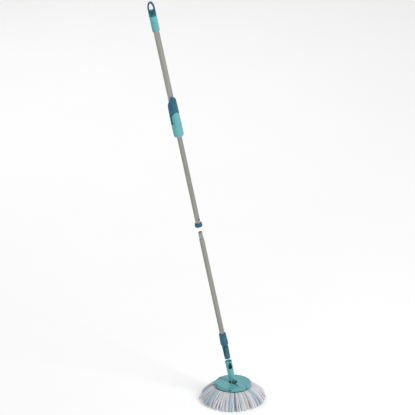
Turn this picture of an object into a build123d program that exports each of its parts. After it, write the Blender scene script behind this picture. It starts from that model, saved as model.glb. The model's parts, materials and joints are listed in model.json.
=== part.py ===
from build123d import *
import os
from math import cos, radians, sin, sqrt

os.makedirs("parts", exist_ok=True)

# Spin mop, in millimetres, +Z up. The origin is on the floor under the middle of the head.
# The pole leans towards -X from the pivot in the head, and stands pulled apart at its two plugs.

# Attitude
lean = 11.27  # the pole's lean from upright, in degrees
pivot_height = 60.0  # the head's pivot above the floor
head_turn = 20.0  # how far the latch side faces round towards +X, in degrees
grip_turn = 27.0  # the same for the lock on the middle grip
click_turn = 44.0  # the same for the click button

# Clearances
run_gap = 0.06  # radial gap of a running fit
plug_gap = 0.08  # radial gap of a plug in its socket
slide_gap = 0.3  # gap beside pieces that slide past each other
play = 0.2  # end play of pieces between two stops
over = 1.0  # how far a cutting shape runs past what it cuts

# Tubes
inner_d = 17.0
inner_wall = 1.15
outer_wall = 0.6
tube_gap = 0.85  # radial gap between the inner and the outer tube
spigot_gap = 0.3  # radial gap of the spigot in the inner tube
spigot_wall = 1.2

# Lengths along the pole, from the head up
socket_rim = 82.0  # the socket's rim above the pivot
head_pulled = 11.0  # gap between the socket and the connector
plug_length = 52.0
connector_body = 41.6
lower_exposed = 357.9
spigot_length = 25.8
pole_pulled = 20.5  # gap between the spigot and the collar
collar_length = 13.0
collar_seat = 8.0  # depth of the seat for the lower tube in the collar
inner_exposed = 325.2
sleeve_ring = 52.0  # the lock sleeve's full ring
tongue_length = 42.0  # its tongue above the ring
arch_above = 56.5  # the middle grip's arch above the tongue
outer_exposed = 244.5
top_grip_length = 57.0
cap_length = 51.0

# Pump and twist drive
stroke = 280.0  # travel of the inner tube into the outer tube
twist_pitch = 80.0
rod_width = 8.0
rod_thick = 2.0
rod_gap = 0.05  # gap between the rod and what is fixed on it
rod_foot = 4.0  # straight lower end of the rod in its stop
rod_stop_d = 11.0
stop_in = 0.5  # the stop's faces inside the ends of the rod's foot
anchor_length = 22.0
anchor_web = 2.0  # solid top of the anchor above the rod's end
anchor_room = 4.0  # room above and below the anchor
pin_d = 3.0
cap_plug = 16.0
flange_t = 2.0
bush_length = 40.0
washer_t = 1.2
clip_t = 1.2
clip_groove = 0.2  # depth of the clip's groove in the inner tube
pocket_d = 11.0
pocket_depth = 6.0
cup_floor = 2.5
rod_swing = 0.6  # room round the turning rod
nut_t = 3.0
nut_room = 0.3  # room beside the rod's edges in the nut
nut_twist = 0.7  # room beside its faces, which twist through the nut
teeth = 4
tooth_h = 1.0
tooth_w = 2.0
tooth_t = 1.1
tooth_slot = 3.0  # length of the slot across each tooth, centred on the pocket's wall
clip_split = 4.0
clutch_cap_t = 1.5
button_d = 5.0
button_proud = 1.8
button_drop = 6.3  # the click button's middle below the spigot's end
leaf_t = 0.6
leaf_w = 6.0
leaf_length = 30.0
leaf_gap = 0.1  # gap between the strip's corners and the spigot's bore
leaf_below_end = 1.5  # the strip's two ends below the spigot's end
leaf_short = 4.0
rivet = 0.2  # the button's root inside the strip
button_round = 1.4
spigot_rooted = 40.0  # length of the spigot inside the lower tube
spigot_lead = 0.7

# Grips
grip_wall = 3.0
cap_step = 0.2  # the cap's surface inside the grip's
loop_t = 9.2
loop_rise = 26.0  # height of the loop's pointed part
loop_band = 5.0
eye_w = 13.4
eye_h = 25.0
eye_rise = 20.0
flat_from = 22.0  # the loop is flat from here up
round_to = 5.0  # and the cap is round up to here
grip_round = 0.8
neck_wall = 3.85
sleeve_wall = 3.7
crown_wall = 6.0  # the grip body's wall at the front of its slanting top
crown_drop = 57.0  # how far the top slants down from front to back
tongue_half = 14.0
tongue_gap = 1.3  # dark gap over the tongue
tongue_shoulder = 17.0
tongue_proud = 0.35
opening_rise = 20.0
opening_front = 2.0  # the opening starts this far in front of the pole's axis
sleeve_floor = 4.0
foot_height = 12.0  # height of the sleeve's rounded foot
foot_wall = 2.4  # its wall round the mouth
tube_above_floor = 45.0  # the outer tube's end above the sleeve's bottom
neck_above_floor = 16.0  # the neck's end above the sleeve's bottom
neck_rooted = 3.0  # how far the neck runs up inside the grip body
tongue_rooted = 4.0  # the tongue's root inside the sleeve's ring
collet_above_floor = 6.0
collet_lip = 1.0
collet_ramp = 2.0
collet_cut = 1.2
finger_share = 0.6  # the fingers' share of the collet's length
lock_travel = 8.0
collar_wall = 4.2
collar_round = 1.5

# Connector and socket
barrel_wall = 4.7  # the barrel's wall where it is widest
barrel_top_wall = 3.2
barrel_foot_wall = 3.7
barrel_low = 9.0  # the widest place above the step
barrel_round = 0.6
plug_root_d = 21.4  # the plug's taper, at its step
plug_end_d = 19.6  # and at its end
plug_bore_d = 15.0
tube_pocket = 34.0  # the lower tube's depth in the connector
slot_half = 8.7
slot_w = 2.0
slot_below_step = 4.5
slot_length = 35.0
catch_proud = 1.7
hole_half = 6.7
hole_length = 25.0
hole_below_rim = 2.6
catch_gap = 0.5
socket_wall = 0.9  # the socket's wall at its rim
socket_base_d = 21.0
socket_base = 13.0  # underside of the socket's tube above the pivot
socket_round = 2.5  # its rounded lower edge
ear_inner = 4.7
ear_outer = 7.3
ear_half = 4.5
hinge_pin_d = 4.0
pin_lead = 0.3

# Universal joint
knuckle_long = 6.0
knuckle_round = 1.2
trunnion_d = 5.2
tab_half = 4.2
tab_t = 3.6
flange_below = 9.5  # the bracket's flange below the pivot
base_flange_t = 2.4
screw_d = 3.0
screw_length = 8.0
screw_head_d = 5.6
screw_head_t = 1.6

# Plate, yarn carrier and fringe
plate_d = 122.0
plate_top = 62.5  # the plate's top above the floor
plate_t = 2.4
rim_height = 10.5
rim_bevel = 2.0
bowl_d = 30.0
bowl_wall = 2.0
groove_w = 9.0
groove_end = 44.0
groove_level = 20.0  # the groove's floor is level for this far outside the bowl
groove_depth = 3.4
clips = 6
notch_w = 7.6
notch_in = 6.4
notch_h = 3.2
window_w = 10.4
window_h = 3.6
window_below = 4.4
hook_w = 9.6
hook_t = 2.0
carrier_t = 3.5
carrier_in = 1.8  # the carrier's edge inside the plate's edge
carrier_room = 1.5  # gap between the carrier's hole and the bowl
barb_in = 0.4  # the hooks' barbs inside the plate's edge
fringe_d = 227.0
fringe_pocket = 5.0

# Levels along the pole, measured from the pivot
plug_end = socket_rim + head_pulled
step = plug_end + plug_length
connector_top = step + connector_body
shoulder = connector_top + lower_exposed
spigot_end = shoulder + spigot_length
collar_bottom = spigot_end + pole_pulled
inner_end = collar_bottom + collar_seat
collar_top = collar_bottom + collar_length
sleeve_bottom = collar_top + inner_exposed
ring_top = sleeve_bottom + sleeve_ring
tongue_top = ring_top + tongue_length
arch_top = tongue_top + arch_above
grip_bottom = arch_top + outer_exposed
tube_top = grip_bottom + top_grip_length
loop_top = tube_top + cap_length
anchor_top = tube_top - cap_plug - anchor_room
anchor_bottom = anchor_top - anchor_length
inner_top = anchor_bottom - anchor_room - flange_t - stroke
outer_end = sleeve_bottom + tube_above_floor
head_travel = step - socket_rim
pole_travel = inner_end - shoulder

# Widths that follow from the inner tube's
outer_bore = inner_d + 2 * tube_gap
outer_d = outer_bore + 2 * outer_wall
inner_bore = inner_d - 2 * inner_wall
spigot_d = inner_bore - 2 * spigot_gap
grip_d = outer_d + 2 * grip_wall
cap_d = grip_d - 2 * cap_step
neck_d = outer_d + 2 * neck_wall
sleeve_bore = neck_d + 2 * slide_gap
sleeve_d = sleeve_bore + 2 * sleeve_wall
crown_d = outer_d + 2 * crown_wall
sleeve_mouth = inner_d + 2 * tube_gap + 2 * slide_gap
clip_d = outer_bore - 2 * slide_gap
collar_d = inner_d + 2 * collar_wall
barrel_d = inner_d + 2 * barrel_wall
barrel_top_d = inner_d + 2 * barrel_top_wall
barrel_foot_d = inner_d + 2 * barrel_foot_wall
socket_rim_d = plug_root_d + 2 * plug_gap + 2 * socket_wall
rod_way = sqrt(rod_width**2 + rod_thick**2) + 2 * rod_swing
knuckle_half = ear_inner - slide_gap

# Planes: the pole's own, and one that looks square at the pole from a given side
up = Vector(-sin(radians(lean)), 0, cos(radians(lean)))
across = Vector(cos(radians(lean)), 0, sin(radians(lean)))
pivot = Vector(0, 0, pivot_height)
pole = Plane(origin=pivot, x_dir=across, z_dir=up)
pole_axis = Axis(pivot, up)


def side(turn):
    outward = across * sin(radians(turn)) - Vector(0, cos(radians(turn)), 0)
    return Plane(origin=pivot, x_dir=up.cross(outward), z_dir=outward)


def ring(bottom, top, outside, inside):
    """A plain tube or washer on the pole's axis."""
    with BuildPart() as part:
        with BuildSketch(pole.offset(bottom)):
            Circle(outside / 2)
            Circle(inside / 2, mode=Mode.SUBTRACT)
        extrude(amount=top - bottom)
    return part


def drop(middle, radius, length):
    """A drop outline: a half circle below, and a long half ellipse above."""
    with BuildSketch() as outline:
        with Locations((0, middle)):
            Circle(radius)
        with BuildLine():
            Line((-radius, middle), (radius, middle))
            EllipticalCenterArc((0, middle), radius, length - radius, 0, arc_size=180)
        make_face()
    return outline.sketch


def arch(half, bottom, top, rise):
    """An outline with straight sides under an elliptical arch of the given rise."""
    with BuildSketch() as outline:
        with BuildLine():
            Line((-half, top - rise), (-half, bottom))
            Line((-half, bottom), (half, bottom))
            Line((half, bottom), (half, top - rise))
            EllipticalCenterArc((0, top - rise), half, rise, 0, arc_size=180)
        make_face()
    return outline.sketch


# ---------------------------------------------------------------- upper pole
# Outer tube, drilled for the anchor's pin
anchor_middle = (anchor_bottom + anchor_top) / 2
with BuildPart() as outer_tube:
    with BuildSketch(pole.offset(outer_end)):
        Circle(outer_d / 2)
        Circle(outer_bore / 2, mode=Mode.SUBTRACT)
    extrude(amount=tube_top - outer_end)
    with BuildSketch(side(0)):
        with Locations((0, anchor_middle)):
            Circle(pin_d / 2)
    extrude(amount=outer_d, both=True, mode=Mode.SUBTRACT)
outer_tube.part.label = "outer_tube"
export_step(outer_tube.part, "parts/outer_tube.step")

# Cap with the hanging eye, round at the grip and flat at the loop
eye_top = loop_top - loop_band
eye_bottom = eye_top - eye_h
eye_middle = (eye_top + eye_bottom) / 2
loop_outline = arch(cap_d / 2, tube_top, loop_top, loop_rise)
eye_outline = arch(eye_w / 2, eye_bottom, eye_top, eye_rise)
with BuildPart() as hang_loop:
    with BuildSketch(pole.offset(tube_top)):
        Circle(cap_d / 2)
    extrude(amount=cap_length)
    with BuildSketch(side(0)):
        add(loop_outline)
    extrude(amount=cap_d, both=True, mode=Mode.INTERSECT)
    with BuildSketch(side(90)):
        with BuildLine():
            Line((0, tube_top), (cap_d / 2, tube_top))
            Line((cap_d / 2, tube_top), (cap_d / 2, tube_top + round_to))
            Spline(
                (cap_d / 2, tube_top + round_to),
                (loop_t / 2, tube_top + flat_from),
                tangents=((0, 1), (0, 1)),
            )
            Line((loop_t / 2, tube_top + flat_from), (loop_t / 2, loop_top + over))
            Line((loop_t / 2, loop_top + over), (0, loop_top + over))
            Line((0, loop_top + over), (0, tube_top))
        make_face()
        mirror(about=Plane.YZ)
    extrude(amount=cap_d, both=True, mode=Mode.INTERSECT)
    with BuildSketch(side(0)):
        add(eye_outline)
    extrude(amount=cap_d, both=True, mode=Mode.SUBTRACT)
    with BuildSketch(pole.offset(tube_top - cap_plug)):
        Circle(outer_bore / 2)
    extrude(amount=cap_plug)
hang_loop.part.label = "hang_loop"
export_step(hang_loop.part, "parts/hang_loop.step")

# Top grip, a moulded sleeve with rounded ends
with BuildPart() as top_grip:
    with BuildSketch(pole.offset(grip_bottom)):
        Circle(grip_d / 2)
        Circle(outer_d / 2, mode=Mode.SUBTRACT)
    extrude(amount=top_grip_length)
    fillet(top_grip.edges().filter_by(GeomType.CIRCLE).group_by(SortBy.RADIUS)[-1], grip_round)
top_grip.part.label = "top_grip"
export_step(top_grip.part, "parts/top_grip.step")

# Anchor for the twisted rod, pinned in the tube's top
with BuildPart() as rod_anchor:
    with BuildSketch(pole.offset(anchor_bottom)):
        Circle(outer_bore / 2)
    extrude(amount=anchor_length)
    with BuildSketch(pole.offset(anchor_bottom)):
        Rectangle(rod_width + 2 * rod_gap, rod_thick + 2 * rod_gap)
    extrude(amount=anchor_length - anchor_web + rod_gap, mode=Mode.SUBTRACT)
    with BuildSketch(side(0)):
        with Locations((0, anchor_middle)):
            Circle(pin_d / 2)
    extrude(amount=outer_d, both=True, mode=Mode.SUBTRACT)
rod_anchor.part.label = "rod_anchor"
export_step(rod_anchor.part, "parts/rod_anchor.step")

with BuildPart() as anchor_pin:
    with BuildSketch(side(0)):
        with Locations((0, anchor_middle)):
            Circle(pin_d / 2)
    extrude(amount=outer_d / 2 - play, both=True)
anchor_pin.part.label = "anchor_pin"
export_step(anchor_pin.part, "parts/anchor_pin.step")

# Twisted flat rod: a straight tang, the twist, and a straight foot in the stop
cup_bottom = inner_top - pocket_depth - cup_floor
nut_bottom = inner_top - pocket_depth
nut_middle = nut_bottom + nut_t / 2
foot_top = cup_bottom - play
rod_bottom = foot_top - rod_foot
twist_top = anchor_bottom
twist_length = twist_top - foot_top
degrees_per_mm = 360 / twist_pitch
foot_angle = -degrees_per_mm * twist_length
nut_angle = -degrees_per_mm * (twist_top - nut_middle)
tooth_angle = nut_angle + 45
with BuildSketch(pole.offset(foot_top)) as foot_section:
    Rectangle(rod_width, rod_thick, rotation=foot_angle)
twist = Solid.extrude_linear_with_rotation(
    foot_section.sketch.face(),
    center=pole.offset(foot_top).origin,
    normal=up * twist_length,
    angle=degrees_per_mm * twist_length,
)
with BuildPart() as twist_rod:
    add(twist)
    with BuildSketch(pole.offset(rod_bottom)):
        Rectangle(rod_width, rod_thick, rotation=foot_angle)
    extrude(amount=rod_foot)
    with BuildSketch(pole.offset(twist_top)):
        Rectangle(rod_width, rod_thick)
    extrude(amount=anchor_length - anchor_web)
    with BuildSketch(side(0)):
        with Locations((0, anchor_middle)):
            Circle(pin_d / 2)
    extrude(amount=outer_d, both=True, mode=Mode.SUBTRACT)
twist_rod.part.label = "twist_rod"
export_step(twist_rod.part, "parts/twist_rod.step")

# Stop riveted on the rod's foot: it meets the clutch cup when the pole is drawn right out
stop_t = rod_foot - 2 * stop_in
with BuildPart() as rod_stop:
    with BuildSketch(pole.offset(rod_bottom + stop_in)):
        Circle(rod_stop_d / 2)
        Rectangle(
            rod_width + 2 * rod_gap,
            rod_thick + 2 * rod_gap,
            rotation=foot_angle,
            mode=Mode.SUBTRACT,
        )
    extrude(amount=stop_t)
rod_stop.part.label = "rod_stop"
export_step(rod_stop.part, "parts/rod_stop.step")

# Middle grip: a shell whose top slants down to the back, open in front for the tongue, on a neck
# that carries the collet and guides the lock sleeve
neck_bottom = sleeve_bottom + neck_above_floor
neck_top = tongue_top + neck_rooted
opening_outline = arch(
    sleeve_d / 2 + over,
    ring_top - over,
    tongue_top + tongue_gap,
    opening_rise,
)
with BuildPart() as grip_body:
    with BuildSketch(side(grip_turn)):
        with BuildLine():
            Polyline(
                (crown_d / 2, arch_top),
                (outer_d / 2, arch_top),
                (outer_d / 2, ring_top + slide_gap),
                (sleeve_d / 2, ring_top + slide_gap),
                close=True,
            )
        make_face()
    revolve(axis=pole_axis)
    with BuildSketch(side(grip_turn + 90)):
        with BuildLine():
            Polyline(
                (-crown_d, arch_top + crown_drop / 2),
                (crown_d, arch_top - 1.5 * crown_drop),
                (crown_d, arch_top + crown_drop / 2),
                close=True,
            )
        make_face()
    extrude(amount=crown_d, both=True, mode=Mode.SUBTRACT)
    with BuildSketch(side(grip_turn).offset(opening_front)):
        add(opening_outline)
    extrude(amount=sleeve_d, mode=Mode.SUBTRACT)
    with BuildSketch(pole.offset(neck_bottom)):
        Circle(neck_d / 2)
        Circle(outer_d / 2, mode=Mode.SUBTRACT)
    extrude(amount=neck_top - neck_bottom)
grip_body.part.label = "grip_body"
export_step(grip_body.part, "parts/grip_body.step")

# Collet: a slotted bush under the outer tube, with lipped fingers below the neck
collet_bottom = sleeve_bottom + collet_above_floor
collet_bore = inner_d + 2 * run_gap
with BuildPart() as collet:
    with BuildSketch(side(0)):
        with BuildLine():
            Polyline(
                (collet_bore / 2, collet_bottom),
                (outer_d / 2 + collet_lip / 2, collet_bottom),
                (outer_d / 2 + collet_lip, collet_bottom + collet_ramp),
                (outer_d / 2 + collet_lip, neck_bottom - collet_ramp),
                (outer_d / 2, neck_bottom - collet_ramp / 2),
                (outer_d / 2, outer_end),
                (collet_bore / 2, outer_end),
                close=True,
            )
        make_face()
    revolve(axis=pole_axis)
    with BuildSketch(pole.offset(collet_bottom)):
        Rectangle(2 * outer_d, collet_cut)
        Rectangle(collet_cut, 2 * outer_d)
    extrude(amount=finger_share * (outer_end - collet_bottom), mode=Mode.SUBTRACT)
collet.part.label = "collet"
export_step(collet.part, "parts/collet.step")

# ---------------------------------------------------------------- lock
# Lock sleeve: a cup round the neck with a tongue that fills the grip's opening
tongue_foot = ring_top - tongue_rooted
foot_r = sleeve_mouth / 2 + foot_wall
foot_edge = sleeve_d / 2 - tongue_proud
foot_middle = ((foot_r + 2 * foot_edge) / 3, sleeve_bottom + foot_height / 3)
tongue_outline = arch(tongue_half, tongue_foot, tongue_top, tongue_shoulder)
with BuildPart() as lock_sleeve:
    with BuildSketch(side(grip_turn)):
        with BuildLine():
            Polyline(
                (sleeve_d / 2, ring_top),
                (crown_d / 2 + tongue_proud, arch_top),
                (sleeve_bore / 2, arch_top),
                (sleeve_bore / 2, tongue_foot),
                (sleeve_d / 2, tongue_foot),
                close=True,
            )
        make_face()
    revolve(axis=pole_axis)
    with BuildSketch(side(grip_turn).offset(opening_front + slide_gap)):
        add(tongue_outline)
    extrude(amount=sleeve_d, mode=Mode.INTERSECT)
    with BuildSketch(side(grip_turn)):
        with BuildLine():
            Line((sleeve_mouth / 2, sleeve_bottom), (foot_r, sleeve_bottom))
            ThreePointArc(
                (foot_r, sleeve_bottom),
                foot_middle,
                (foot_edge, sleeve_bottom + foot_height),
            )
            Polyline(
                (foot_edge, sleeve_bottom + foot_height),
                (sleeve_d / 2, ring_top),
                (sleeve_bore / 2, ring_top),
                (sleeve_bore / 2, sleeve_bottom + sleeve_floor),
                (sleeve_mouth / 2, sleeve_bottom + sleeve_floor),
                (sleeve_mouth / 2, sleeve_bottom),
            )
        make_face()
    revolve(axis=pole_axis)
lock_sleeve.part.label = "lock_sleeve"
export_step(lock_sleeve.part, "parts/lock_sleeve.step")

# ---------------------------------------------------------------- carriage
# Guide bush and thrust washer, held between the clutch flange and the ring clip
washer_top = inner_top - play
bush_top = washer_top - washer_t
bush_bottom = bush_top - bush_length
bush_bore = inner_d + 2 * run_gap
bush_d = outer_bore - 2 * run_gap
guide_bush = ring(bush_bottom, bush_top, bush_d, bush_bore)
guide_bush.part.label = "guide_bush"
export_step(guide_bush.part, "parts/guide_bush.step")

thrust_washer = ring(bush_top, washer_top, clip_d, bush_bore)
thrust_washer.part.label = "thrust_washer"
export_step(thrust_washer.part, "parts/thrust_washer.step")

# ---------------------------------------------------------------- spinner
# Inner tube, grooved for the clip and drilled for the click button
clip_top = bush_bottom - play
clip_bottom = clip_top - clip_t
button_level = spigot_end - button_drop
button_hole_level = button_level + pole_travel
button_hole_d = button_d + 2 * slide_gap
with BuildPart() as inner_tube:
    with BuildSketch(pole.offset(inner_end)):
        Circle(inner_d / 2)
        Circle(inner_bore / 2, mode=Mode.SUBTRACT)
    extrude(amount=inner_top - inner_end)
    with BuildSketch(pole.offset(clip_bottom)):
        Circle(inner_d / 2 + over)
        Circle(inner_d / 2 - clip_groove, mode=Mode.SUBTRACT)
    extrude(amount=clip_t, mode=Mode.SUBTRACT)
    with BuildSketch(side(click_turn)):
        with Locations((0, button_hole_level)):
            Circle(button_hole_d / 2)
    extrude(amount=inner_d, mode=Mode.SUBTRACT)
inner_tube.part.label = "inner_tube"
export_step(inner_tube.part, "parts/inner_tube.step")

# Split ring clip in the groove
with BuildPart() as retaining_clip:
    with BuildSketch(pole.offset(clip_bottom)):
        Circle(clip_d / 2)
        Circle(inner_d / 2 - clip_groove, mode=Mode.SUBTRACT)
        with Locations((0, clip_d / 2)):
            Rectangle(clip_split, clip_d / 2, mode=Mode.SUBTRACT)
    extrude(amount=clip_t)
retaining_clip.part.label = "retaining_clip"
export_step(retaining_clip.part, "parts/retaining_clip.step")

# Clutch cup, pressed in the tube's top: its floor has four slots for the nut's teeth
with BuildPart() as clutch_cup:
    with BuildSketch(pole.offset(cup_bottom)):
        Circle(inner_bore / 2)
    extrude(amount=inner_top - cup_bottom)
    with BuildSketch(pole.offset(inner_top)):
        Circle(clip_d / 2)
    extrude(amount=flange_t)
    with BuildSketch(pole.offset(nut_bottom)):
        Circle(pocket_d / 2)
    extrude(amount=pocket_depth + flange_t, mode=Mode.SUBTRACT)
    with BuildSketch(pole.offset(cup_bottom)):
        Circle(rod_way / 2)
    extrude(amount=cup_floor, mode=Mode.SUBTRACT)
    with BuildSketch(pole.offset(nut_bottom)):
        with PolarLocations(pocket_d / 2, teeth, start_angle=tooth_angle):
            Rectangle(tooth_slot, tooth_w + play)
    extrude(amount=-(tooth_h + play), mode=Mode.SUBTRACT)
clutch_cup.part.label = "clutch_cup"
export_step(clutch_cup.part, "parts/clutch_cup.step")

# Drive nut: a disc with a slot for the rod and four teeth under its edge
nut_d = pocket_d - 2 * run_gap
with BuildPart() as drive_nut:
    with BuildSketch(pole.offset(nut_bottom - tooth_h)):
        with PolarLocations((nut_d - tooth_t) / 2, teeth, start_angle=tooth_angle):
            Rectangle(tooth_t, tooth_w)
        Circle(nut_d / 2, mode=Mode.INTERSECT)
        Circle(rod_way / 2, mode=Mode.SUBTRACT)
    extrude(amount=tooth_h)
    with BuildSketch(pole.offset(nut_bottom)):
        Circle(nut_d / 2)
    extrude(amount=nut_t)
    with BuildSketch(pole.offset(nut_bottom)):
        Rectangle(rod_width + 2 * nut_room, rod_thick + 2 * nut_twist, rotation=nut_angle)
    extrude(amount=nut_t, mode=Mode.SUBTRACT)
drive_nut.part.label = "drive_nut"
export_step(drive_nut.part, "parts/drive_nut.step")

# Ring that keeps the nut in its cup
cap_bottom = inner_top + flange_t - clutch_cap_t
clutch_cap = ring(cap_bottom, inner_top + flange_t, pocket_d, rod_way)
clutch_cap.part.label = "clutch_cap"
export_step(clutch_cap.part, "parts/clutch_cap.step")

# End collar: fixed on the inner tube, with a seat below for the lower tube
with BuildPart() as end_collar:
    with BuildSketch(pole.offset(collar_bottom)):
        Circle(collar_d / 2)
        Circle(inner_d / 2 + plug_gap, mode=Mode.SUBTRACT)
    extrude(amount=collar_seat)
    with BuildSketch(pole.offset(inner_end)):
        Circle(collar_d / 2)
        Circle(inner_d / 2, mode=Mode.SUBTRACT)
    extrude(amount=collar_length - collar_seat)
    fillet(end_collar.edges().filter_by(GeomType.CIRCLE).group_by(SortBy.RADIUS)[-1], collar_round)
end_collar.part.label = "end_collar"
export_step(end_collar.part, "parts/end_collar.step")

# ---------------------------------------------------------------- lower pole
lower_end = connector_top - tube_pocket
lower_tube = ring(lower_end, shoulder, inner_d, inner_bore)
lower_tube.part.label = "lower_tube"
export_step(lower_tube.part, "parts/lower_tube.step")

# Spigot: pressed in the lower tube, and a sliding fit in the inner tube above it
spigot_root = shoulder - spigot_rooted
spigot_bore = spigot_d - 2 * spigot_wall
with BuildPart() as spigot:
    with BuildSketch(pole.offset(spigot_root)):
        Circle(inner_bore / 2)
    extrude(amount=spigot_rooted)
    with BuildSketch(pole.offset(shoulder)):
        Circle(spigot_d / 2)
    extrude(amount=spigot_length)
    chamfer(spigot.edges().filter_by(GeomType.CIRCLE).sort_by(pole_axis)[-1], spigot_lead)
    with BuildSketch(pole.offset(spigot_root)):
        Circle(spigot_bore / 2)
    extrude(amount=spigot_rooted + spigot_length, mode=Mode.SUBTRACT)
    with BuildSketch(side(click_turn)):
        with Locations((0, button_level)):
            Circle(button_hole_d / 2)
    extrude(amount=inner_d, mode=Mode.SUBTRACT)
spigot.part.label = "spigot"
export_step(spigot.part, "parts/spigot.step")

# Click spring: a strip bent to a hairpin inside the spigot, with the button riveted near its end
leaf_r = sqrt((spigot_bore / 2 - leaf_gap) ** 2 - (leaf_w / 2) ** 2)
leaf_foot = button_level - leaf_length
hair_r = leaf_r - leaf_t / 2
button_r = inner_d / 2 + button_proud
with BuildPart() as click_spring:
    with BuildSketch(side(click_turn + 90)):
        with BuildLine():
            Line((hair_r, spigot_end - leaf_below_end), (hair_r, leaf_foot))
            ThreePointArc(
                (hair_r, leaf_foot),
                (0, leaf_foot - hair_r),
                (-hair_r, leaf_foot),
            )
            Line((-hair_r, leaf_foot), (-hair_r, spigot_end - leaf_short))
            offset(amount=leaf_t / 2, side=Side.BOTH, closed=True)
        make_face()
    extrude(amount=leaf_w / 2, both=True)
    with BuildSketch(side(click_turn).offset(hair_r - rivet)):
        with Locations((0, button_level)):
            Circle(button_d / 2)
    extrude(amount=button_r - hair_r + rivet)
    round_top = click_spring.faces().sort_by(Axis(pivot, side(click_turn).z_dir))[-1]
    fillet(round_top.edges(), button_round)
click_spring.part.label = "click_spring"
export_step(click_spring.part, "parts/click_spring.step")

# Connector: a barrel round the lower tube's end, a step, and a tapered plug with a U slot
slot_top = step - slot_below_step
slot_bottom = slot_top - slot_length
pocket_floor = lower_end


def plug_radius(level):
    share = (level - plug_end) / plug_length
    return (plug_end_d + share * (plug_root_d - plug_end_d)) / 2


def plug_wall(bottom, top):
    """The plug's tapered wall between two levels."""
    with BuildPart() as wall:
        with BuildSketch(side(head_turn)):
            with BuildLine():
                Polyline(
                    (plug_bore_d / 2, bottom),
                    (plug_radius(bottom), bottom),
                    (plug_radius(top), top),
                    (plug_bore_d / 2, top),
                    close=True,
                )
            make_face()
        revolve(axis=pole_axis)
    return wall.part


whole_plug = plug_wall(plug_end, step)
slot_outline = arch(slot_half, slot_bottom, slot_top, slot_half)
with BuildPart() as connector:
    add(whole_plug)
    with BuildSketch(side(head_turn)):
        with BuildLine():
            Line((plug_bore_d / 2, step), (barrel_foot_d / 2, step))
            Spline(
                (barrel_foot_d / 2, step),
                (barrel_d / 2, step + barrel_low),
                (barrel_top_d / 2, connector_top),
                tangents=((0.5, 1), (-0.05, 1)),
            )
            Polyline(
                (barrel_top_d / 2, connector_top),
                (inner_d / 2, connector_top),
                (inner_d / 2, pocket_floor),
                (plug_bore_d / 2, pocket_floor),
                (plug_bore_d / 2, step),
            )
        make_face()
    revolve(axis=pole_axis)
    with BuildSketch(side(head_turn)):
        add(slot_outline)
    extrude(amount=barrel_d, mode=Mode.SUBTRACT)
    fillet(connector.edges().filter_by(GeomType.CIRCLE).sort_by(pole_axis)[-1], barrel_round)
connector.part.label = "connector"
export_step(connector.part, "parts/connector.step")

# Spring tongue inside the slot, rooted at its lower end, with the drop-shaped catch
hole_bottom = socket_rim - hole_below_rim - hole_length
hole_middle = hole_bottom + hole_half
catch_half = hole_half - catch_gap
catch_middle = hole_middle + head_travel
tongue_inner_half = slot_half - slot_w
tongue_inner_top = slot_top - slot_w
catch_length = tongue_inner_top - (catch_middle - catch_half) - catch_gap
catch_r = plug_root_d / 2 + catch_proud
catch_outline = drop(catch_middle, catch_half, catch_length)
with BuildPart() as catch:
    with BuildSketch(side(head_turn)):
        add(catch_outline)
    extrude(amount=catch_r)
    with BuildSketch(pole.offset(slot_bottom)):
        Circle(catch_r)
        Circle(plug_bore_d / 2, mode=Mode.SUBTRACT)
    extrude(amount=slot_length, mode=Mode.INTERSECT)
tongue_wall = plug_wall(slot_bottom, slot_top)
inner_outline = arch(tongue_inner_half, slot_bottom, tongue_inner_top, tongue_inner_half)
with BuildPart() as latch_tongue:
    add(tongue_wall)
    with BuildSketch(side(head_turn)):
        add(inner_outline)
    extrude(amount=barrel_d, mode=Mode.INTERSECT)
    add(catch.part)
latch_tongue.part.label = "latch_tongue"
export_step(latch_tongue.part, "parts/latch_tongue.step")

# ---------------------------------------------------------------- head socket
# Directions of the universal joint's two axes: one across the plate, one across the fork
plate_pin = Vector(sin(radians(head_turn)), -cos(radians(head_turn)), 0)
fork_pin = up.cross(plate_pin).normalized()

# Socket: a tapered tube with the latch hole, on a fork of two ears
bore_end = plug_end - head_travel
ear_root = socket_base + socket_round
hole_outline = drop(hole_middle, hole_half, hole_length)
with BuildPart() as head_socket:
    with BuildSketch(side(head_turn)):
        with BuildLine():
            Polyline(
                (0, socket_base),
                (socket_base_d / 2, socket_base),
                (socket_rim_d / 2, socket_rim),
                (0, socket_rim),
                close=True,
            )
        make_face()
    revolve(axis=pole_axis)
    fillet(head_socket.edges().filter_by(GeomType.CIRCLE).sort_by(pole_axis)[0], socket_round)
    for way in (-1, 1):
        with BuildSketch(Plane(origin=pivot + fork_pin * ear_inner * way, x_dir=up, z_dir=fork_pin * way)):
            Circle(ear_half)
            with Locations((ear_root / 2, 0)):
                Rectangle(ear_root, 2 * ear_half)
        extrude(amount=ear_outer - ear_inner)
    with BuildSketch(side(head_turn)):
        with BuildLine():
            Polyline(
                (0, bore_end),
                (plug_end_d / 2 + plug_gap, bore_end),
                (plug_root_d / 2 + plug_gap, socket_rim),
                (0, socket_rim),
                close=True,
            )
        make_face()
    revolve(axis=pole_axis, mode=Mode.SUBTRACT)
    with BuildSketch(side(head_turn)):
        add(hole_outline)
    extrude(amount=socket_rim_d, mode=Mode.SUBTRACT)
    with BuildSketch(Plane(origin=pivot, x_dir=up, z_dir=fork_pin)):
        Circle(hinge_pin_d / 2)
    extrude(amount=ear_outer + over, both=True, mode=Mode.SUBTRACT)
head_socket.part.label = "head_socket"
export_step(head_socket.part, "parts/head_socket.step")

with BuildPart() as socket_pin:
    with BuildSketch(Plane(origin=pivot, x_dir=up, z_dir=fork_pin)):
        Circle(hinge_pin_d / 2)
    extrude(amount=ear_outer, both=True)
    chamfer(socket_pin.edges().filter_by(GeomType.CIRCLE), pin_lead)
socket_pin.part.label = "socket_pin"
export_step(socket_pin.part, "parts/socket_pin.step")

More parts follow.
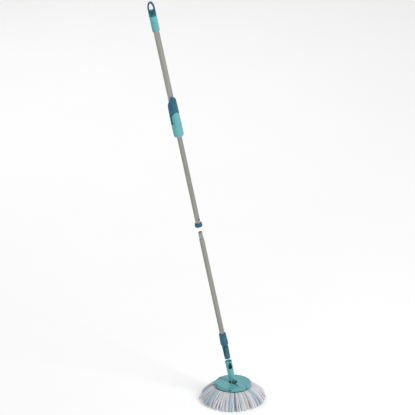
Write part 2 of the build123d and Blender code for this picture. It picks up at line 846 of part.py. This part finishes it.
# ---------------------------------------------------------------- knuckle
# Cross piece: a block bored for the fork's pin, with a trunnion on each side for the plate
block = Plane(origin=pivot, x_dir=fork_pin, z_dir=fork_pin.cross(plate_pin))
tab_inner = knuckle_long + slide_gap
with BuildPart() as knuckle:
    with BuildSketch(block):
        Rectangle(2 * knuckle_half, 2 * knuckle_long)
    extrude(amount=knuckle_half, both=True)
    fillet(knuckle.edges().filter_by(Axis(pivot, plate_pin)), knuckle_round)
    with BuildSketch(Plane(origin=pivot, x_dir=fork_pin, z_dir=plate_pin)):
        Circle(trunnion_d / 2)
    extrude(amount=tab_inner + tab_t, both=True)
    with BuildSketch(Plane(origin=pivot, x_dir=up, z_dir=fork_pin)):
        Circle(hinge_pin_d / 2 + run_gap)
    extrude(amount=knuckle_half, both=True, mode=Mode.SUBTRACT)
knuckle.part.label = "knuckle"
export_step(knuckle.part, "parts/knuckle.step")

# ---------------------------------------------------------------- mop head
# Planes on the floor: the plate's own, whose groove faces the latch side, and the trunnions'
head = Plane(origin=(0, 0, 0), x_dir=Vector(-plate_pin.Y, plate_pin.X, 0), z_dir=(0, 0, 1))
trunnions = Plane(origin=(0, 0, 0), x_dir=plate_pin, z_dir=(0, 0, 1))
base_d = bowl_d - 2.0
rim_bottom = plate_top - rim_height
flange_top = pivot_height - flange_below
bowl_floor = flange_top - base_flange_t
bowl_bottom = bowl_floor - bowl_wall
clip_angles = [-90 + 30 + 60 * k for k in range(clips)]
window_top = plate_top - window_below
window_bottom = window_top - window_h
screw_out = tab_inner + tab_t / 2

# Plate: a shell with a bevelled rim, a bowl for the joint, a groove and six clip windows
with BuildPart() as mop_plate:
    with BuildSketch(Plane.XZ):
        with BuildLine():
            Polyline(
                (0, bowl_bottom),
                (bowl_d / 2 + bowl_wall, bowl_bottom),
                (bowl_d / 2 + bowl_wall, plate_top - plate_t),
                (plate_d / 2 - plate_t, plate_top - plate_t),
                (plate_d / 2 - plate_t, rim_bottom),
                (plate_d / 2, rim_bottom),
                (plate_d / 2, plate_top - rim_bevel),
                (plate_d / 2 - rim_bevel, plate_top),
                (bowl_d / 2, plate_top),
                (bowl_d / 2, bowl_floor),
                (0, bowl_floor),
                close=True,
            )
        make_face()
    revolve(axis=Axis.Z)
    # A rib under the plate backs the groove
    rib_start = bowl_d / 2 + bowl_wall / 2
    with BuildSketch(head.offset(plate_top - plate_t - groove_depth)):
        with Locations((0, -(rib_start + groove_end) / 2)):
            Rectangle(groove_w + 2 * plate_t, groove_end - rib_start)
    extrude(amount=plate_t + groove_depth / 2)
    with BuildSketch(Plane(origin=(0, 0, 0), x_dir=head.y_dir, z_dir=head.x_dir)):
        with BuildLine():
            Polyline(
                (-bowl_d / 4, plate_top + over),
                (-bowl_d / 4, plate_top - groove_depth),
                (-bowl_d / 2 - groove_level, plate_top - groove_depth),
                (-groove_end, plate_top),
                (-groove_end, plate_top + over),
                close=True,
            )
        make_face()
    extrude(amount=groove_w / 2, both=True, mode=Mode.SUBTRACT)
    # Notch in the top edge and window in the wall at each clip
    for angle in clip_angles:
        wall = head.rotated((0, 0, angle))
        with BuildSketch(wall.offset(plate_top)):
            with Locations((plate_d / 2, 0)):
                Rectangle(2 * notch_in, notch_w)
        extrude(amount=-notch_h, mode=Mode.SUBTRACT)
        with BuildSketch(wall.offset(window_bottom)):
            with Locations((plate_d / 2, 0)):
                Rectangle(3 * plate_t, window_w)
        extrude(amount=window_h, mode=Mode.SUBTRACT)
    for way in (-1, 1):
        with BuildSketch(trunnions.offset(bowl_bottom)):
            with Locations((way * screw_out, 0)):
                Circle(screw_d / 2)
        extrude(amount=bowl_wall, mode=Mode.SUBTRACT)
mop_plate.part.label = "mop_plate"
export_step(mop_plate.part, "parts/mop_plate.step")

# Bracket in the bowl: a round flange with two bored tabs
screw_top = bowl_bottom + screw_length
with BuildPart() as pivot_base:
    with BuildSketch(head.offset(bowl_floor)):
        Circle(base_d / 2)
    extrude(amount=base_flange_t)
    for way in (-1, 1):
        tab_plane = Plane(
            origin=pivot + plate_pin * tab_inner * way,
            x_dir=(0, 0, 1),
            z_dir=plate_pin * way,
        )
        with BuildSketch(tab_plane):
            Circle(tab_half)
            with Locations((-flange_below / 2, 0)):
                Rectangle(flange_below, 2 * tab_half)
        extrude(amount=tab_t)
        with BuildSketch(tab_plane):
            Circle(trunnion_d / 2 + run_gap)
        extrude(amount=tab_t, mode=Mode.SUBTRACT)
        with BuildSketch(trunnions.offset(bowl_floor)):
            with Locations((way * screw_out, 0)):
                Circle(screw_d / 2)
        extrude(amount=screw_top - bowl_floor, mode=Mode.SUBTRACT)
pivot_base.part.label = "pivot_base"
export_step(pivot_base.part, "parts/pivot_base.step")

# Two pan-head screws from under the bowl
with BuildPart() as base_screws:
    for way in (-1, 1):
        with BuildSketch(trunnions.offset(bowl_bottom)):
            with Locations((way * screw_out, 0)):
                Circle(screw_d / 2)
        extrude(amount=screw_length)
        with BuildSketch(trunnions.offset(bowl_bottom - screw_head_t)):
            with Locations((way * screw_out, 0)):
                Circle(screw_head_d / 2)
        extrude(amount=screw_head_t)
base_screws.part.label = "base_screws"
export_step(base_screws.part, "parts/base_screws.step")

# Yarn carrier: a flat ring under the rim with six hooks whose barbs sit in the windows
carrier_d = plate_d - 2 * carrier_in
carrier_bottom = rim_bottom - carrier_t
carrier_hole = bowl_d + 2 * bowl_wall + 2 * carrier_room
hook_out = plate_d / 2 - plate_t - slide_gap
hook_top = window_top + slide_gap
with BuildPart() as yarn_carrier:
    with BuildSketch(head.offset(carrier_bottom)):
        Circle(carrier_d / 2)
        Circle(carrier_hole / 2, mode=Mode.SUBTRACT)
    extrude(amount=carrier_t)
    for angle in clip_angles:
        spot = head.rotated((0, 0, angle))
        with BuildSketch(spot.offset(carrier_bottom)):
            with Locations((hook_out - hook_t / 2, 0)):
                Rectangle(hook_t, hook_w)
            Circle(hook_out, mode=Mode.INTERSECT)
        extrude(amount=hook_top - carrier_bottom)
        with BuildSketch(spot.offset(window_bottom + slide_gap)):
            with Locations((hook_out - hook_t / 2 + plate_t / 2, 0)):
                Rectangle(hook_t + plate_t, hook_w)
            Circle(hook_out + plate_t - barb_in, mode=Mode.INTERSECT)
        extrude(amount=window_h - 2 * slide_gap)
yarn_carrier.part.label = "yarn_carrier"
export_step(yarn_carrier.part, "parts/yarn_carrier.step")

# Fringe: the strands' whole outline as one closed solid, flat where it stands on the floor
fringe_r = fringe_d / 2
with BuildPart() as fringe:
    with BuildSketch(Plane.XZ):
        with BuildLine():
            Polyline(
                (fringe_r, 0),
                (0, 0),
                (0, carrier_bottom - fringe_pocket),
                (carrier_hole / 2, carrier_bottom - fringe_pocket),
                (carrier_hole / 2, carrier_bottom),
                (carrier_d / 2, carrier_bottom),
                (carrier_d / 2, rim_bottom),
                (plate_d / 2, rim_bottom),
            )
            Spline(
                (plate_d / 2, rim_bottom),
                (0.725 * fringe_r, 0.82 * rim_bottom),
                (0.92 * fringe_r, 0.475 * rim_bottom),
                (fringe_r, 0),
                tangents=((1, -0.2), (0.12, -1)),
            )
        make_face()
    revolve(axis=Axis.Z)
fringe.part.label = "fringe"
export_step(fringe.part, "parts/fringe.step")
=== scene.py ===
import json
import math

import bpy
import numpy as np
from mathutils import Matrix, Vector


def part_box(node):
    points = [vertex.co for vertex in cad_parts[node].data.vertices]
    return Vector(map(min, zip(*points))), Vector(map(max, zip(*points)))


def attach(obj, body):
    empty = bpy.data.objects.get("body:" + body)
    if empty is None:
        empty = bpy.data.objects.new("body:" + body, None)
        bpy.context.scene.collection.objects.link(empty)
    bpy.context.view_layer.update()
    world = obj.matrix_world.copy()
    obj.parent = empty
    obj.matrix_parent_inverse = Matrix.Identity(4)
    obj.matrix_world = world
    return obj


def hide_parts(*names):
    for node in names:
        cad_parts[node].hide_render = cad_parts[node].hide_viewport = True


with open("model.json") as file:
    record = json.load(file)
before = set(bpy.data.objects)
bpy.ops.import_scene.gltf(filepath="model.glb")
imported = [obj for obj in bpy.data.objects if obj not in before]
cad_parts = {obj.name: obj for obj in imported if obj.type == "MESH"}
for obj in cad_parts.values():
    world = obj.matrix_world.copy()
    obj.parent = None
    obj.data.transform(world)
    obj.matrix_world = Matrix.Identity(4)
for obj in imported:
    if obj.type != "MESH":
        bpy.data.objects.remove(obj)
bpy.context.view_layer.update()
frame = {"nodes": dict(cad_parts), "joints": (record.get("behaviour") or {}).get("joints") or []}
nodes = frame["nodes"]
joints = {joint["name"]: joint for joint in frame["joints"]}

# The pole is one straight line from the pivot in the head up to the hanging eye.
# Everything on it is placed by its distance along that line.
pivot = Vector(joints["spin"]["pos_m"])
pole_up = Vector(joints["pump"]["axis"])

# ---------------------------------------------------------------- camera and light
# The mop stands on a plain pale floor and is looked at from in front and a little above,
# from far off through a long lens, so that its tubes keep one width from end to end.
look_down = math.radians(24.0)
distance = 50.0
view_width = 1.408
view_dir = Vector((0, math.cos(look_down), -math.sin(look_down)))
view_up = Vector((0, math.sin(look_down), math.cos(look_down)))
aim = Vector((-0.0863, 0, 0)) + view_up * 0.648

camera_data = bpy.data.cameras.new("camera")
camera_data.sensor_width = 36.0
camera_data.lens = camera_data.sensor_width * distance / view_width
camera_data.clip_end = 600.0
camera = bpy.data.objects.new("camera", camera_data)
camera.location = aim - view_dir * distance
camera.rotation_euler = (math.pi / 2 - look_down, 0, 0)
bpy.context.scene.collection.objects.link(camera)
bpy.context.scene.camera = camera
bpy.context.scene.view_settings.view_transform = "Standard"


def softbox(name, at, toward, width, height, power):
    """A studio softbox: a flat light that faces one point."""
    data = bpy.data.lights.new(name, "AREA")
    data.shape = "RECTANGLE"
    data.size = width
    data.size_y = height
    data.energy = power
    lamp = bpy.data.objects.new(name, data)
    lamp.location = at
    lamp.rotation_euler = (Vector(toward) - Vector(at)).to_track_quat("-Z", "Y").to_euler()
    bpy.context.scene.collection.objects.link(lamp)


middle = (-0.1, 0.0, 0.7)
softbox("key_softbox", (2.6, -2.4, 2.9), middle, 1.6, 2.4, 98.0)
softbox("fill_softbox", (-3.0, -2.2, 1.6), middle, 2.0, 2.4, 7.0)
softbox("back_softbox", (-1.0, 3.2, 2.6), middle, 2.4, 1.6, 30.0)

world = bpy.data.worlds.new("studio")
world.use_nodes = True
world.node_tree.nodes["Background"].inputs["Color"].default_value = (1.0, 1.0, 1.0, 1.0)
world.node_tree.nodes["Background"].inputs["Strength"].default_value = 0.44
bpy.context.scene.world = world


# ---------------------------------------------------------------- steel tubes
# Three drawn steel tubes: a wide upper one, and two narrower ones that plug end to end.
# They have a satin grey coat, brushed lengthwise, so it shows fine streaks along the pole.
class Wire:
    """A socket in a material. Arithmetic on it adds Math nodes, and node() adds any other."""

    def __init__(self, tree, socket=None):
        self.tree = tree
        self.socket = socket

    def node(self, kind, settings, inputs, output=0):
        new = self.tree.nodes.new("ShaderNode" + kind)
        for key, value in settings.items():
            if key == "stops":
                while len(new.color_ramp.elements) < len(value):
                    new.color_ramp.elements.new(0.5)
                for element, (place, colour) in zip(new.color_ramp.elements, value):
                    element.position = place
                    element.color = (*colour, 1.0)
            else:
                setattr(new, key, value)
        for key, value in inputs.items():
            if isinstance(value, Wire):
                self.tree.links.new(value.socket, new.inputs[key])
            else:
                new.inputs[key].default_value = value
        return Wire(self.tree, new.outputs[output])

    def maths(self, operation, first, second):
        return self.node("Math", {"operation": operation}, {0: first, 1: second})

    def __add__(self, other):
        return self.maths("ADD", self, other)

    def __radd__(self, other):
        return self.maths("ADD", other, self)

    def __sub__(self, other):
        return self.maths("SUBTRACT", self, other)

    def __rsub__(self, other):
        return self.maths("SUBTRACT", other, self)

    def __mul__(self, other):
        return self.maths("MULTIPLY", self, other)

    def __rmul__(self, other):
        return self.maths("MULTIPLY", other, self)

    def __pow__(self, other):
        return self.maths("POWER", self, other)

    def into(self, socket):
        self.tree.links.new(self.socket, socket)

    def place(self):
        """The point on the surface, in metres, in the mop's frame."""
        return self.node("TexCoord", {}, {}, "Object")

    def along(self, direction):
        """How far the point lies along a direction."""
        point = self.node(
            "VectorMath", {"operation": "DOT_PRODUCT"}, {0: self, 1: tuple(direction)}, "Value"
        )
        return point

    def part(self, axis):
        return self.node("SeparateXYZ", {}, {"Vector": self}, axis)

    def stretched(self, scales):
        """The point with its three directions stretched by their own factors."""
        return self.node("VectorMath", {"operation": "MULTIPLY"}, {0: self, 1: tuple(scales)})

    def noise(self, scale, detail, roughness=0.5):
        return self.node(
            "TexNoise", {}, {"Vector": self, "Scale": scale, "Detail": detail, "Roughness": roughness}
        )

    def spread(self, low, high, to_low, to_high):
        """The value taken from one range to another, and held at its ends."""
        return self.node(
            "MapRange",
            {"interpolation_type": "SMOOTHSTEP"},
            {"Value": self, "From Min": low, "From Max": high, "To Min": to_low, "To Max": to_high},
        )

    def mixed(self, first, second):
        """One colour where this value is 0, the other where it is 1."""
        return self.node(
            "Mix", {"data_type": "RGBA"}, {"Factor": self, 6: colour(first), 7: colour(second)}, 2
        )

    def bump(self, strength, height):
        return self.node("Bump", {}, {"Height": self, "Strength": strength, "Distance": height})


def colour(value):
    return value if isinstance(value, Wire) else (*value, 1.0)


def new_material(name, **constants):
    """A material with the shader's own constant values set, and a wire to work from."""
    material = bpy.data.materials.new(name)
    material.use_nodes = True
    shader = material.node_tree.nodes["Principled BSDF"]
    for key, value in constants.items():
        shader.inputs[key.replace("_", " ")].default_value = value
    return material, Wire(material.node_tree), shader


def dress(material, *names):
    """Gives CAD nodes their material."""
    for name in names:
        slots = nodes[name].material_slots
        for slot in slots:
            slot.material = material


def pole_place(wire):
    """The point turned into the pole's own directions: across, back and along."""
    across = Vector((0, 1, 0)).cross(pole_up)
    here = wire.place()
    return wire.node(
        "CombineXYZ",
        {},
        {"X": here.along(across), "Y": here.along((0, 1, 0)), "Z": here.along(pole_up)},
    )


axis_x = pivot.dot(Vector((0, 1, 0)).cross(pole_up))


def tube_material(name, light, dark, metallic, rough):
    material, wire, shader = new_material(name, Metallic=metallic)
    here = pole_place(wire)
    streaks = here.stretched((1, 1, 0.012)).noise(900.0, 5.0, 0.65)
    patches = here.stretched((1, 1, 0.2)).noise(26.0, 3.0)
    scratches = here.stretched((1, 1, 0.05)).noise(2600.0, 2.0).spread(0.66, 0.74, 0.0, 1.0)
    tone = streaks * 0.75 + patches * 0.25
    tone.spread(0.34, 0.66, 0.0, 1.0).mixed(dark, light).into(shader.inputs["Base Color"])
    (streaks.spread(0.3, 0.7, rough - 0.05, rough + 0.07) - scratches * 0.06).into(
        shader.inputs["Roughness"]
    )
    (streaks + scratches * 0.4).bump(0.18, 0.0002).into(shader.inputs["Normal"])
    return material


grey_tube = tube_material("grey_tube", (0.43, 0.42, 0.385), (0.285, 0.28, 0.255), 0.55, 0.30)
dress(grey_tube, "outer_tube")
narrow_tube = tube_material("narrow_tube", (0.36, 0.355, 0.325), (0.23, 0.228, 0.208), 0.55, 0.30)
dress(narrow_tube, "inner_tube", "lower_tube")

# ---------------------------------------------------------------- spigot and small steel
# The lower tube's end is drawn down to a bare steel spigot. The click spring in it, the twisted
# rod and the pins are bright zinc-plated steel.
spigot_steel = tube_material("spigot_steel", (0.38, 0.40, 0.38), (0.26, 0.29, 0.275), 0.7, 0.30)
dress(spigot_steel, "spigot")

zinc, wire, shader = new_material("zinc_steel", Metallic=1.0)
spangle = wire.place().noise(420.0, 3.0)
spangle.spread(0.3, 0.7, 0.0, 1.0).mixed((0.50, 0.50, 0.50), (0.68, 0.68, 0.66)).into(
    shader.inputs["Base Color"]
)
spangle.spread(0.3, 0.7, 0.24, 0.38).into(shader.inputs["Roughness"])
spangle.bump(0.12, 0.0002).into(shader.inputs["Normal"])
dress(
    zinc,
    "click_spring",
    "twist_rod",
    "rod_stop",
    "anchor_pin",
    "thrust_washer",
    "retaining_clip",
    "socket_pin",
    "base_screws",
)


# ---------------------------------------------------------------- moulded plastic
# The grips, cap, collar, plug, socket and plate are injection-moulded polypropylene with a fine
# satin grain: dark blue for what is fixed on the pole, teal for what the hand works and the head.
def plastic_material(name, base, shade, rough, painted_shade_mask=None):
    """Moulded plastic, and painted shade, a darker tone, where the mask says that a point lies deep in a
    piece.
    """
    material, wire, shader = new_material(name, Specular_IOR_Level=0.42)
    here = wire.place()
    cloud = here.noise(34.0, 4.0)
    grain = here.noise(2600.0, 2.0)
    rubs = here.stretched((1.0, 1.0, 0.25)).noise(230.0, 4.0, 0.7).spread(0.62, 0.74, 0.0, 1.0)
    tint = cloud.spread(0.3, 0.7, 0.0, 1.0).mixed(shade, base)
    lifted = tuple(min(1.0, c * 1.12 + 0.012) for c in base)
    skin = (rubs * 0.35).mixed(tint, lifted)
    # Painted shade: where the mask is 1, the colour drops to a small share of the base.
    if painted_shade_mask:
        skin = painted_shade_mask(wire).mixed(skin, tuple(c * painted_shade_tone for c in base))
    skin.into(shader.inputs["Base Color"])
    (grain.spread(0.3, 0.7, rough - 0.03, rough + 0.05) + rubs * 0.08).into(
        shader.inputs["Roughness"]
    )
    (grain + cloud * 0.5).bump(0.10, 0.0002).into(shader.inputs["Normal"])
    return material


# How dark the painted shade is, as a share of the base colour.
painted_shade_tone = 0.12
teal_plastic = plastic_material("teal_plastic", (0.130, 0.440, 0.455), (0.105, 0.385, 0.405), 0.40)
blue_plastic = plastic_material("blue_plastic", (0.018, 0.130, 0.200), (0.012, 0.100, 0.155), 0.38)
dress(teal_plastic, "top_grip", "lock_sleeve", "head_socket", "mop_plate")
neck_r = 0.0142
tongue_tip = 1.027


def tongue_gap_shade(wire):
    """1 on the neck inside the middle grip's opening, seen through the gap round the tongue, where painted
    shade darkens the grip's blue.
    """
    flat = pole_place(wire)
    from_axis = ((flat.part("X") - axis_x) ** 2.0 + flat.part("Y") ** 2.0) ** 0.5
    level = flat.part("Z") - pivot.dot(pole_up)
    return from_axis.spread(neck_r - 0.0012, neck_r, 1.0, 0.0) * level.spread(
        tongue_tip, tongue_tip + 0.002, 1.0, 0.0
    )


# The grip body's blue, with painted shade on the neck in the gap round the tongue.
grip_blue_shaded = plastic_material(
    "grip_blue_shaded", (0.018, 0.130, 0.200), (0.012, 0.100, 0.155), 0.38, tongue_gap_shade
)
dress(blue_plastic, "hang_loop", "end_collar", "connector", "latch_tongue")
dress(grip_blue_shaded, "grip_body")

# ---------------------------------------------------------------- inner plastic
# Bushes, collet and clutch are plain white nylon, and the head's joint is slate acetal. The yarn
# carrier is teal like the plate, and its hooks in the plate's windows are painted near-black as shade.
nylon = plastic_material("white_nylon", (0.72, 0.72, 0.68), (0.64, 0.64, 0.60), 0.45)
acetal = plastic_material("joint_dark", (0.060, 0.130, 0.145), (0.040, 0.095, 0.105), 0.42)
rim_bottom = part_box("mop_plate")[0].z


# Painted shade: 1 where the carrier stands above the rim's bottom, inside the plate's windows.
def window_shade(wire):
    return wire.place().along((0, 0, 1)).spread(rim_bottom, rim_bottom + 0.001, 0.0, 1.0)


# The carrier's teal, painted near-black as shade in the plate's windows.
carrier_teal_shaded = plastic_material(
    "carrier_teal_shaded", (0.130, 0.440, 0.455), (0.105, 0.385, 0.405), 0.42, window_shade
)
dress(carrier_teal_shaded, "yarn_carrier")
dress(nylon, "rod_anchor", "collet", "guide_bush", "clutch_cup", "drive_nut", "clutch_cap")
dress(acetal, "knuckle", "pivot_base")

# ---------------------------------------------------------------- rim lips
# The plate's six clip slots are closed at the edge by a thin lip, moulded in one with the rim.
# Each is a short piece of the bevelled rim, set a hair inside its surface.
plate_low, plate_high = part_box("mop_plate")
plate_r = (plate_high.x - plate_low.x) / 2
lip_in = 0.00008
lip_depth = 0.0026
lip_height = 0.0036
rim_bevel = 0.0020
lip_section = [
    (plate_r - lip_depth, plate_high.z - lip_height),
    (plate_r - lip_in, plate_high.z - lip_height),
    (plate_r - lip_in, plate_high.z - rim_bevel),
    (plate_r - rim_bevel - lip_in, plate_high.z - lip_in),
    (plate_r - lip_depth, plate_high.z - lip_in),
]
first_slot = 20 - 60
slot_count = 6
slot_pitch = 360 // slot_count
lip_half = math.radians(3.8)
lip_steps = 6
lip_places, lip_faces = [], []
for slot in range(slot_count):
    middle_turn = math.radians(first_slot + slot_pitch * slot)
    base = len(lip_places)
    for step in range(lip_steps + 1):
        turn = middle_turn + lip_half * (2 * step / lip_steps - 1)
        for radius, height in lip_section:
            lip_places.append((radius * math.cos(turn), radius * math.sin(turn), height))
    corners = len(lip_section)
    for step in range(lip_steps):
        for corner in range(corners):
            a = base + step * corners + corner
            b = base + step * corners + (corner + 1) % corners
            lip_faces.append((a, a + corners, b + corners, b))
    lip_faces.append(tuple(base + corner for corner in range(corners)))
    lip_faces.append(tuple(base + lip_steps * corners + corner for corner in reversed(range(corners))))
lip_mesh = bpy.data.meshes.new("rim_lips")
lip_mesh.from_pydata(lip_places, [], lip_faces)
lip_mesh.materials.append(teal_plastic)
rim_lips = bpy.data.objects.new("rim_lips", lip_mesh)
bpy.context.scene.collection.objects.link(rim_lips)
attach(rim_lips, "mop_head")

# ---------------------------------------------------------------- fringe
# Some 250 strands of three-ply microfibre yarn, clamped under the carrier ring. They spring out
# from under the rim, bend over under their own weight and rest their cut ends on the floor.
strand_r = 0.0033
plies = 3
ply_pitch = 0.015
round_points = 18
ring_gap = 0.0021
# The outermost and innermost strands' middle lines, as radius and height in millimetres
top_line = [
    (50, 44.5), (57, 45.0), (63, 47.0), (72, 44.5), (83, 37.0),
    (94, 28.3), (103, 19.2), (109, 10.4), (111.6, 1.5),
]
low_line = [
    (38, 43.0), (44, 41.0), (49, 37.0), (54, 32.0), (58, 26.0),
    (62, 19.5), (65, 13.0), (67, 6.5), (68, 1.0),
]
# Where the blue (0.5) and slate (1.0) strands lie on the side that is seen, in degrees from -Y
blue_turns = {-58.0: 0.5, -52.0: 0.5, -44.0: 0.4, -7.0: 0.5, 4.5: 1.0, 15.0: 0.4, 50.0: 0.4, 56.0: 0.5}
plain_within = 75.0
fringe_low, fringe_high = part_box("fringe")


def smooth_line(points, count):
    """Points evenly spaced along a smooth line through a few."""
    points = np.array(points, float)
    ends = np.vstack([2 * points[0] - points[1], points, 2 * points[-1] - points[-2]])
    dense = []
    for k in range(1, len(ends) - 2):
        a, b, c, d = ends[k - 1 : k + 3]
        for t in np.linspace(0, 1, 24, endpoint=False):
            dense.append(
                0.5
                * (2 * b + (c - a) * t + (2 * a - 5 * b + 4 * c - d) * t**2 + (3 * b - a - 3 * c + d) * t**3)
            )
    dense.append(points[-1])
    dense = np.array(dense)
    steps = np.concatenate([[0], np.cumsum(np.linalg.norm(np.diff(dense, axis=0), axis=1))])
    at = np.linspace(0, steps[-1], count)
    return np.column_stack([np.interp(at, steps, dense[:, k]) for k in range(dense.shape[1])])


def strand_path(layer_share, turn, chance):
    """A strand's middle line, from under the ring to its end on the floor."""
    low, top = np.array(low_line), np.array(top_line)
    line = top + (low - top) * layer_share
    length = np.linalg.norm(np.diff(line, axis=0), axis=1).sum() / 1000
    cut = 0.045 * abs(math.sin(turn)) ** 2 + chance.uniform(0, 0.04)
    count = int(length / ring_gap)
    line = smooth_line(line, count)[: max(4, round(count * (1 - cut)))] / 1000
    count = len(line)
    share = np.linspace(0, 1, count)
    reach = 1 + (0.035 * chance.uniform(-1, 1) - 0.012) * share**2
    lift = chance.uniform(-0.0016, 0.0012) * np.sin(math.pi * share)
    side = chance.uniform(-1, 1) * 0.0035 * share**1.5
    side = side + 0.0012 * share * np.sin(2 * math.pi * (chance.uniform(0.6, 1.6) * share + chance.random()))
    radius = line[:, 0] * reach
    angle = turn + side / np.maximum(radius, 0.03)
    height = line[:, 1] + lift
    return np.column_stack([radius * np.sin(angle), -radius * np.cos(angle), height])


def strand_mesh(path, chance):
    """A three-ply twisted strand round its middle line, with closed, slightly frayed ends."""
    count = len(path)
    tangent = np.gradient(path, axis=0)
    tangent /= np.linalg.norm(tangent, axis=1)[:, None]
    side = np.cross(tangent, [0, 0, 1.0])
    side /= np.linalg.norm(side, axis=1)[:, None]
    over = np.cross(side, tangent)
    run = np.linspace(0, (count - 1) * ring_gap, count)[:, None]
    around = np.linspace(0, 2 * math.pi, round_points, endpoint=False)[None, :]
    twist = around * plies - run * 2 * math.pi * plies / ply_pitch + chance.random() * 6.28
    thick = strand_r * (0.90 + 0.14 * np.abs(np.cos(twist / 2)))
    wave = 1 + 0.06 * np.sin(run / 0.011 + chance.random() * 6.28)
    share = run / run[-1]
    thick = thick * wave * (1 + 0.10 * share**6) * (0.9 + 0.1 * np.minimum(1, share * 8))
    thick = thick * chance.uniform(0.9, 1.08)
    points = (
        path[:, None, :]
        + side[:, None, :] * (thick * np.cos(around))[:, :, None]
        + over[:, None, :] * (thick * np.sin(around))[:, :, None]
    )
    points[-1] += tangent[-1] * chance.uniform(-0.0012, 0.0012, round_points)[:, None]
    points[:, :, 2] = np.maximum(points[:, :, 2], 0.0004)
    return points


def strand_hue(turn, reach, chance):
    """0 for white yarn, up to 1 for slate: set for the seen side, and chosen by chance elsewhere."""
    degrees = (math.degrees(turn) + 180) % 360 - 180
    near = [hue for at, hue in blue_turns.items() if abs(degrees - at) < reach]
    pick = chance.random()
    if abs(degrees) < plain_within:
        return near[0] if near else 0.0
    return 0.0 if pick < 0.82 else (0.5 if pick < 0.95 else 1.0)


def add_fringe(name, layers, chance):
    """One object of many strands, with each strand's shade and colour kept on its points."""
    places, faces, shades, hues, runs = [], [], [], [], []
    for layer_share, number, start in layers:
        for k in range(number):
            turn = 2 * math.pi * (k + start + chance.uniform(-0.2, 0.2)) / number
            points = strand_mesh(strand_path(layer_share, turn, chance), chance)
            base = sum(len(p) for p in places)
            count = len(points)
            places.append(points.reshape(-1, 3))
            for ring in range(count - 1):
                for spot in range(round_points):
                    a = base + ring * round_points + spot
                    b = base + ring * round_points + (spot + 1) % round_points
                    faces.append((a, b, b + round_points, a + round_points))
            faces.append(tuple(base + spot for spot in reversed(range(round_points))))
            last = base + (count - 1) * round_points
            faces.append(tuple(last + spot for spot in range(round_points)))
            hue = strand_hue(turn, 180.0 / number, chance)
            shades.append(np.full(count * round_points, chance.random()))
            hues.append(np.full(count * round_points, hue))
            runs.append(np.repeat(np.linspace(0, 1, count), round_points))
    mesh = bpy.data.meshes.new(name)
    mesh.from_pydata(np.vstack(places).tolist(), [], faces)
    for key, values in (("shade", shades), ("hue", hues), ("run", runs)):
        mesh.attributes.new(key, "FLOAT", "POINT").data.foreach_set("value", np.concatenate(values))
    mesh.shade_smooth()
    mesh.materials.append(yarn)
    piece = bpy.data.objects.new(name, mesh)
    bpy.context.scene.collection.objects.link(piece)
    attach(piece, "mop_head")
    return piece


yarn, wire, shader = new_material("yarn", Roughness=0.95, Sheen_Weight=0.35, Sheen_Roughness=0.5)
shade = wire.node("Attribute", {"attribute_name": "shade"}, {}, "Fac")
hue = wire.node("Attribute", {"attribute_name": "hue"}, {}, "Fac")
run = wire.node("Attribute", {"attribute_name": "run"}, {}, "Fac")
here = wire.place()
fibre = here.noise(1500.0, 4.0, 0.7)
blotch = here.noise(70.0, 2.0)
white = shade.node(
    "ValToRGB",
    {
        "stops": [
            (0.0, (0.62, 0.63, 0.67)),
            (0.3, (0.76, 0.72, 0.745)),
            (0.65, (0.70, 0.75, 0.79)),
            (1.0, (0.81, 0.81, 0.84)),
        ]
    },
    {"Fac": shade},
    "Color",
)
warm = (blotch.spread(0.55, 0.75, 0.0, 0.6)).mixed(white, (0.80, 0.73, 0.75))
blues = hue.node(
    "ValToRGB",
    {"stops": [(0.0, (0.80, 0.82, 0.86)), (0.5, (0.44, 0.57, 0.65)), (1.0, (0.24, 0.31, 0.40))]},
    {"Fac": hue},
    "Color",
)
coloured = hue.spread(0.0, 0.4, 0.0, 1.0).mixed(warm, blues)
# Darker flecks along the fibres, and painted shade on the first quarter of each strand, by its root under
# the rim.
fibre_flecks_and_root_shade = (fibre.spread(0.35, 0.6, 0.30, 0.0) + run.spread(0.0, 0.25, 0.35, 0.0)).mixed(
    coloured, (0.35, 0.38, 0.42)
)
fibre_flecks_and_root_shade.into(shader.inputs["Base Color"])
(fibre + here.noise(5200.0, 2.0) * 0.5).bump(0.5, 0.0006).into(shader.inputs["Normal"])

chance = np.random.default_rng(7)
outer_strands = add_fringe("fringe_outer", [(0.0, 62, 0.0)], chance)
second_strands = add_fringe("fringe_second", [(0.10, 62, 0.5)], chance)
inner_strands = add_fringe("fringe_inner", [(0.30, 56, 0.25), (0.60, 44, 0.6), (1.0, 26, 0.1)], chance)
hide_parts("fringe")

# ---------------------------------------------------------------- floor
# A plain pale studio floor, wide enough to fill the view, which isn't part of the mop.
floor_half = 30.0
floor_mesh = bpy.data.meshes.new("floor")
floor_mesh.from_pydata(
    [
        (-floor_half, -floor_half, 0),
        (floor_half, -floor_half, 0),
        (floor_half, floor_half, 0),
        (-floor_half, floor_half, 0),
    ],
    [],
    [(0, 1, 2, 3)],
)
floor = bpy.data.objects.new("floor", floor_mesh)
bpy.context.scene.collection.objects.link(floor)
floor_paint, wire, shader = new_material(
    "floor_paint", Roughness=0.9, Emission_Color=(1.0, 1.0, 1.0, 1.0), Emission_Strength=0.22
)
floor_mottle = wire.place().noise(3.0, 2.0).spread(0.3, 0.7, 0.0, 1.0)
floor_tone = floor_mottle.mixed((0.955, 0.955, 0.955), (0.965, 0.965, 0.965))
floor_tone.into(shader.inputs["Base Color"])
floor_mesh.materials.append(floor_paint)
